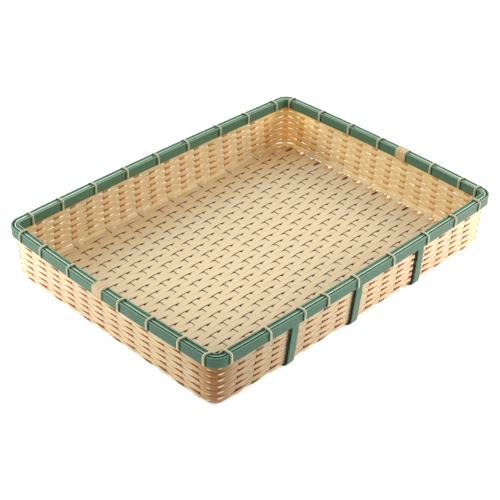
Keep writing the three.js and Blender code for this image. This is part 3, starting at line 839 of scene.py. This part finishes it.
hiddenRow = {
    "width": 3.3, "thickness": 0.7, "swing": 1.05, "tone": (0.8, 0.62, 0.4),
}
hidden = Gather()
weaverRow(hidden, -1, hiddenRow, np.array(hiddenRow["tone"]))
makePiece("rimWeaver", hidden, weaverBamboo, ["rim_weaver"])
print("stage: weave made")

hoops = {
    "height": 9.5, "outerThickness": 2, "innerThickness": 1.4, "innerInset": 6.5,
    "cornerSteps": 18, "straightStep": 5, "waves": (5, 9, 14),
    # Tones, and the shares of a section that they cover: the pale top edge is partly a painted
    # highlight, the near corner gets painted shade and the front's right end a painted reflection
    "paleEdge": (3.2, 2.3, 2.6), "paleFrom": 0.955, "innerFace": (1.1, 1.1, 1.1),
    "innerTo": 0.1, "cornerShade": (0.55, 0.68, 0.64), "darkReach": 150,
    "rightReflectionTone": (1.4, 1.05, 1.15), "rightFrom": 0.05, "rightReach": 0.4, "frontDepth": 3,
}
fillers = {
    "height": 3, "wobble": 0.12, "cornerGap": 0.5, "paleFrom": 0.6,
    "grooveShadeTone": (0.1, 0.17, 0.15), "grooveFrom": 0.3, "grooveTo": 0.9,
    "farTone": (0.6, 0.68, 0.62), "farFrom": 0.05, "farReach": 0.5,
    # Inset, drop from the rim's top, thickness and the tone of the top edge
    "strips": [(2.8, 0.2, 1.2, (3.6, 3.2, 3.6)), (4.25, 0.75, 1.9, (0.7, 0.85, 0.8))],
}


def around(centre, radius, angle):
    out = np.array([math.cos(angle), math.sin(angle)])
    return np.array(centre) + radius * out, out


# A closed way round four corners: quarter arcs with straight runs before them
def ringWay(corners, radius, cornerSteps, straightCount):
    points, outs = [], []
    for k, corner in enumerate(corners):
        turn = math.pi / 2 * (k - 1)
        before, out = around(corners[k - 1], radius, turn)
        here = around(corner, radius, turn)[0]
        count = straightCount(np.linalg.norm(here - before))
        points += [blend(before, here, s / count) for s in range(1, count)]
        outs += [out] * (count - 1)
        for s in range(cornerSteps + 1):
            point, out = around(corner, radius, turn + math.pi / 2 * s / cornerSteps)
            points.append(point)
            outs.append(out)
    return np.array(points), np.array(outs)


def hoopWay(inset, height, wobble):
    radius = basket["rimCorner"] - inset
    reachX = halfLong - inset - radius
    reachY = halfWide - inset - radius
    corners = [(reachX, -reachY), (reachX, reachY), (-reachX, reachY), (-reachX, -reachY)]
    plan, outs = ringWay(corners, radius, hoops["cornerSteps"],
                         lambda length: max(int(length / hoops["straightStep"]), 1))
    run = np.cumsum(np.linalg.norm(plan - np.roll(plan, 1, 0), axis=1))
    waves = [np.sin(2 * math.pi * n * run / run[-1] + draw.uniform(0, anyPhase)) for n in hoops["waves"]]
    plan = plan - outs * (wobble * (0.5 + 0.5 * sum(waves) / len(waves)))[:, None]
    points = np.column_stack([plan, np.full(len(plan), height)])
    return points, np.column_stack([outs, np.zeros(len(outs))])


# Painted shade darkens the rim towards the near corner
def rimCornerShade(points):
    away = np.hypot(points[:, 0] + halfLong, points[:, 1] + halfWide)
    return toned(hoops["cornerShade"], eased(1 - away / hoops["darkReach"]))


# Painted reflection: the front wall's hoop is lighter and greyer towards the right corner
def paintedRimReflection(points):
    right = eased((points[:, 0] / basket["length"] - hoops["rightFrom"]) / hoops["rightReach"])
    onFront = points[:, 1] < hoops["frontDepth"] - halfWide
    return toned(hoops["rightReflectionTone"], right * onFront)


# The fillers are less bright along the far walls
def farTint(points):
    far = points[:, 0] / basket["length"] + points[:, 1] / basket["width"]
    return toned(fillers["farTone"], eased((far - fillers["farFrom"]) / fillers["farReach"]))


# The top edges of hoops and fillers are paler than their faces: partly scraped, partly a painted
# highlight
def topWearAndHighlight(section, pale, paleFrom):
    tone = np.ones((len(section), 3))
    tone[section[:, 0] > paleFrom] *= pale
    return tone


def addHoop(name, inset, thickness, tone, node):
    hoop = Gather()
    middle = basket["rimUnder"] + hoops["height"] / 2
    points, outs = hoopWay(inset + thickness / 2, middle, 0.0)
    tint = rimCornerShade(points) * paintedRimReflection(points)
    sweep(hoop, points, outs, hoops["height"], thickness, hoopSection, closed=True, tint=tint, tone=tone)
    makePiece(name, hoop, greenSkin, [node])


innerTone = topWearAndHighlight(hoopSection, hoops["paleEdge"], hoops["paleFrom"])
outerTone = innerTone.copy()
outerTone[hoopSection[:, 1] < hoops["innerTo"]] = hoops["innerFace"]
addHoop("outerHoop", 0.0, hoops["outerThickness"], outerTone, "outer_hoop")
addHoop("innerHoop", hoops["innerInset"], hoops["innerThickness"], innerTone, "inner_hoop")

# Painted shade: a filler's outer side is dark, down in the groove behind the hoop
grooveShade = (strandSection[:, 1] > fillers["grooveFrom"]) & (strandSection[:, 0] < fillers["grooveTo"])
rimFillers = Gather()
for inset, drop, thickness, pale in fillers["strips"]:
    middle = basket["rimTop"] - drop - fillers["height"] / 2
    points, outs = hoopWay(inset + thickness / 2, middle, fillers["wobble"])
    diagonal = 2 * np.abs(outs[:, 0] * outs[:, 1])
    points = points - outs * (fillers["cornerGap"] * diagonal)[:, None]
    tone = topWearAndHighlight(strandSection, pale, fillers["paleFrom"])
    tone[grooveShade] = fillers["grooveShadeTone"]
    sweep(rimFillers, points, outs, fillers["height"], thickness, strandSection, closed=True,
          tint=rimCornerShade(points) * farTint(points), tone=tone)
makePiece("rimFillers", rimFillers, fillerSkin, ["rim_filler_1", "rim_filler_2"])
print("stage: rim made")

strap = {
    "shares": [-0.2487, -0.0309, 0.202],
    "width": 8, "thickness": 1, "endTaper": 0.55, "tuck": 4.6,
    "filletSteps": 9, "wallSteps": 16, "floorSteps": 30,
    # How far out it lies under the floor, on the wall and where it is tucked behind the rim
    "floorOut": 2.5, "wallOut": 2.75, "wallReach": 6, "tuckOut": 2.175,
    "tuckFrom": 9, "tuckReach": 7,
    # The dark strip beside it, a painted shadow
    "shadeShift": 4.4, "shadeOut": 1.35, "shadeWidth": 2.4, "shadeThickness": 0.8,
    "shadeFrom": 5, "shadeShort": 1.5, "shadeSteps": 14, "shadowTone": (0.16, 0.11, 0.12),
}
strapClimbs = np.concatenate([
    np.linspace(0, filletArc, strap["filletSteps"]),
    np.linspace(filletArc, wallLength + strap["tuck"], strap["wallSteps"])[1:],
])
onWall = eased(strapClimbs / strap["wallReach"])
tucked = eased((strapClimbs - wallLength + strap["tuckFrom"]) / strap["tuckReach"])
strapOut = blend(blend(strap["floorOut"], strap["wallOut"], onWall), strap["tuckOut"], tucked)
shadeTop = wallLength - strap["shadeShort"]
shadeClimbs = np.linspace(strap["shadeFrom"], shadeTop, strap["shadeSteps"])

straps = Gather()
for share in strap["shares"]:
    at = share * basket["length"]
    front, back = [wallLine((wall, at), strapClimbs, strapOut) for wall in ("front", "back")]
    middle = np.linspace(front[0][0], back[0][0], strap["floorSteps"])[1:-1]
    points, normals = joined(front, (middle, np.tile(-up, (len(middle), 1))), back)
    taper = np.ones(len(points))
    taper[:3] = taper[-3:] = strap["endTaper"]
    sweep(straps, points, normals, strap["width"], strap["thickness"] * taper, flatSection)
    # A painted shadow strip lies beside the strap's raised side, seen from the near corner
    for wall in ("front", "back"):
        points, normals = wallLine((wall, at - strap["shadeShift"]), shadeClimbs, strap["shadeOut"])
        sweep(straps, points, normals, strap["shadeWidth"], strap["shadeThickness"], flatSection,
              tint=strap["shadowTone"])
makePiece("carryStraps", straps, greenSkin, ["strap_1", "strap_2", "strap_3"])
print("stage: straps made")

lashing = {
    "rimInset": 7.9, "cornerSteps": 8, "sideSteps": 6, "crown": 0.1,
    "leanFrom": 5, "leanTurn": -4,
}


def spotOnWall(wall, at):
    return (wall, crossX(at) if wall in ("front", "back") else shortY(at))


# A closed way round the rim in section, (out of the rim's outside, height), with its normals
def rimWay(form):
    out, corner = form["out"], form["corner"]
    low, high = basket["rimUnder"] - out + corner, basket["rimTop"] + out - corner
    outside, inside = out - corner, corner - lashing["rimInset"] - out
    corners = [(outside, low), (outside, high), (inside, high), (inside, low)]
    return ringWay(corners, corner, lashing["cornerSteps"], lambda length: lashing["sideSteps"])


def windRound(gather, place, form, shift, section, tint, lean=0.0):
    plan, outward = planPoint(place, 0.0, basket["rimCorner"])
    along = np.array([-outward[1], outward[0]])
    way, normals = rimWay(form)
    across = np.clip(-way[:, 0] / lashing["rimInset"], 0, 1)
    onTop = way[:, 1] > basket["rimTop"]
    way[:, 1] += np.where(onTop, lashing["crown"] * np.sin(math.pi * across), 0)
    leaning = (way[:, 1] - basket["rimTop"]) / lashing["leanFrom"] + 1
    shifts = shift + lean * leaning * np.where(way[:, 0] > lashing["leanTurn"], 1, -1)
    points = np.column_stack([plan + outward * way[:, :1] + along * shifts[:, None], way[:, 1]])
    through = np.column_stack([outward * normals[:, :1], normals[:, 1]])
    sweep(gather, points, through, form["width"], form["thickness"], section, closed=True, tint=tint)


tie = {
    "out": 0.68, "corner": 2.8, "width": 0.95, "thickness": 0.62,
    "spread": 1.4, "lean": 0.25, "strandLean": 0.12,
    # Painted light and shade on the tie's two strands
    "litStrandTone": (1.15, 1.15, 1.15), "shadedStrandTone": (0.58, 0.68, 0.64),
    # A dark strand beside each tie is a painted shadow, on the side that is turned from the near corner
    "shade": {"out": 0.5, "corner": 2.8, "width": 0.9, "thickness": 0.5},
    "shadeShift": 1.55, "shadowTone": (0.05, 0.09, 0.06),
    "shadeSide": {"front": -1, "back": 1, "left": 1, "right": -1},
    # Where the ties are along each wall, counted in stakes
    "places": {
        "front": [-0.9, 1.28, 3.28, 4.72, 6.64, 9.04, 11.5, 13.58, 15.5],
        "back": [-0.48, 1.28, 3.28, 5.28, 7.28, 9.28, 11.5, 13.5, 15.55],
        "left": [-0.8, 0.64, 2.5, 4.3, 7.7, 9.7, 11.28],
        "right": [-0.58, 0.42, 2.26, 5.7, 7.7, 9.7, 11.8],
    },
}
ties, tieNames = Gather(), []
for wall, places in tie["places"].items():
    for k, at in enumerate(places):
        place = spotOnWall(wall, at)
        lean = draw.uniform(-tie["lean"], tie["lean"])
        darkSide = tie["shadeSide"][wall]
        for turn in (-1, 1):
            # The strand on the dark side is painted in shade, the other painted lighter
            tone = tie["shadedStrandTone" if turn == darkSide else "litStrandTone"]
            strandLean = lean + draw.uniform(-tie["strandLean"], tie["strandLean"])
            windRound(ties, place, tie, turn * tie["spread"] / 2, strandSection, tone, strandLean)
        # The painted shadow strand
        shift = darkSide * tie["shadeShift"]
        windRound(ties, place, tie["shade"], shift, strandSection, tie["shadowTone"], lean)
        tieNames.append(f"tie_{wall}_{k + 1}")
makePiece("rimTies", ties, tieStrand, tieNames)

band = {
    "out": 0.61, "corner": 2, "thickness": 0.66, "overlap": 0.06,
    "lowTone": (0.95, 0.76, 0.5), "lowFrom": 3, "lowReach": 7,
    # Where a binder is along each short wall, counted in stakes
    "places": {"left": 5.68, "right": 4.2},
    # Its strands: shift along the rim, width and tone
    "strands": [
        (-5.7, 1.4, (0.7, 0.76, 0.74)),
        (-4.1, 1.8, (1.12, 1.1, 1.1)),
        (-2.2, 2, (1, 0.9, 0.8)),
        (-0.1, 2.1, (1.12, 1.07, 1)),
        (2, 2, (0.98, 0.88, 0.76)),
        (4, 1.8, (1.1, 1.02, 0.94)),
        (5.7, 1.5, (0.8, 0.84, 0.78)),
    ],
}
# The binders' strands brown towards the rim's lower edge
lowShare = eased((basket["rimTop"] - band["lowFrom"] - rimWay(band)[0][:, 1]) / band["lowReach"])
bandTint = toned(band["lowTone"], lowShare)
for wall, at in band["places"].items():
    binder = Gather()
    for k, (shift, wide, tone) in enumerate(band["strands"]):
        form = {**band, "width": wide, "thickness": band["thickness"] + band["overlap"] * (k % 2)}
        windRound(binder, spotOnWall(wall, at), form, shift, bandSection, bandTint * tone)
    makePiece("binder" + wall.title(), binder, binderSkin, [f"binder_{wall}"])
print("stage: lashings made")

studio = {
    "floorReach": 6, "floorDrop": 0.0004, "floorTone": (0.86, 0.86, 0.86),
    # Under the tray the paper gets a painted brown shade
    "floorRough": 0.9, "floorSpecular": 0.1, "paintedUnderShade": (0.07, 0.03, 0.012), "glow": 0.5,
    "shadeX": 0.163, "shadeY": 0.117, "shadeSoft": 0.004, "world": 0.5,
    "target": (0, 0, 0.03), "boxPower": 9, "boxSize": 0.45, "boxAway": 1,
    "boxHigh": 0.5, "topPower": 5, "topSize": 1.2, "topPlace": (0.25, 0.25, 1.4),
}
view = {
    "azimuth": math.radians(-46.29116), "elevation": math.radians(34.51991),
    "roll": math.radians(1.804827), "distance": 3.223336, "right": -0.0126024,
    "up": 0.0021799, "focal": 1279.635, "pixels": 500, "sensor": 36,
    "rimShare": 0.13004, "clipStart": 0.05,
}


# The paper glows all round, and has a painted brown shade under the tray
def paperMaterial():
    material = bpy.data.materials.new("floorWhite")
    tree = NodeTree(material)
    place = tree.add("SeparateXYZ", {0: tree.add("NewGeometry").outputs["Position"]})
    spans = [tree.maths("SUBTRACT", tree.maths("ABSOLUTE", place.outputs[axis]), studio["shade" + axis])
             for axis in ("X", "Y")]
    past, soft = tree.maths("MAXIMUM", *spans), studio["shadeSoft"]
    tone = tree.mixed(tree.ranged(past, -soft, soft), studio["paintedUnderShade"], studio["floorTone"])
    tree.surface({
        "Base Color": tone,
        "Roughness": studio["floorRough"],
        "Specular IOR Level": studio["floorSpecular"],
        "Emission Color": (1, 1, 1),
        "Emission Strength": tree.ranged(past, -soft, soft, studio["glow"]),
    })
    return material


def addFloor():
    reach = studio["floorReach"]
    mesh = bpy.data.meshes.new("floor")
    corners = [(-reach, -reach, 0), (reach, -reach, 0), (reach, reach, 0), (-reach, reach, 0)]
    mesh.from_pydata(corners, [], [(0, 1, 2, 3)])
    mesh.materials.append(paperMaterial())
    floor = bpy.data.objects.new("floor", mesh)
    floor.location = (0, 0, -studio["floorDrop"])
    scene.collection.objects.link(floor)


def addBox(name, location, size, power):
    data = bpy.data.lights.new(name, "AREA")
    data.shape = "RECTANGLE"
    data.size = data.size_y = size
    data.energy = power
    lamp = bpy.data.objects.new(name, data)
    lamp.location = location
    lamp.rotation_mode = "QUATERNION"
    lamp.rotation_quaternion = (target - location).to_track_quat("-Z", "Y")
    scene.collection.objects.link(lamp)


world = bpy.data.worlds.new("studio")
world.use_nodes = True
background = world.node_tree.nodes["Background"].inputs
background["Color"].default_value = (1, 1, 1, 1)
background["Strength"].default_value = studio["world"]
scene.world = world
addFloor()

azimuth, elevation, roll = view["azimuth"], view["elevation"], view["roll"]
flat = math.cos(elevation)
back = Vector((math.sin(azimuth) * flat, -math.cos(azimuth) * flat, math.sin(elevation)))
level = Vector((math.cos(azimuth), math.sin(azimuth), 0))
upright = back.cross(level)
right = level * math.cos(roll) + upright * math.sin(roll)
above = upright * math.cos(roll) - level * math.sin(roll)
unitLength = basket["length"] * millimetre
rise = basket["rimTop"] * millimetre - view["rimShare"] * unitLength
away = back * view["distance"] + right * view["right"] + above * view["up"]
spot = away * unitLength + Vector((0, 0, rise))
camera = bpy.data.objects.new("camera", bpy.data.cameras.new("camera"))
camera.data.sensor_width = view["sensor"]
camera.data.lens = view["focal"] / view["pixels"] * view["sensor"]
camera.data.clip_start = view["clipStart"]
turned = Matrix((right, above, back)).transposed().to_4x4()
turned.translation = spot
camera.matrix_world = turned
scene.collection.objects.link(camera)
scene.camera = camera

target = Vector(studio["target"])
for name, side in (("boxLeft", -1), ("boxRight", 1)):
    place = target + level * side * studio["boxAway"] + Vector((0, 0, studio["boxHigh"]))
    addBox(name, place, studio["boxSize"], studio["boxPower"])
addBox("boxTop", target + Vector(studio["topPlace"]), studio["topSize"], studio["topPower"])
scene.view_settings.view_transform = "Standard"
scene.view_settings.look = "None"
print("stage: studio made")
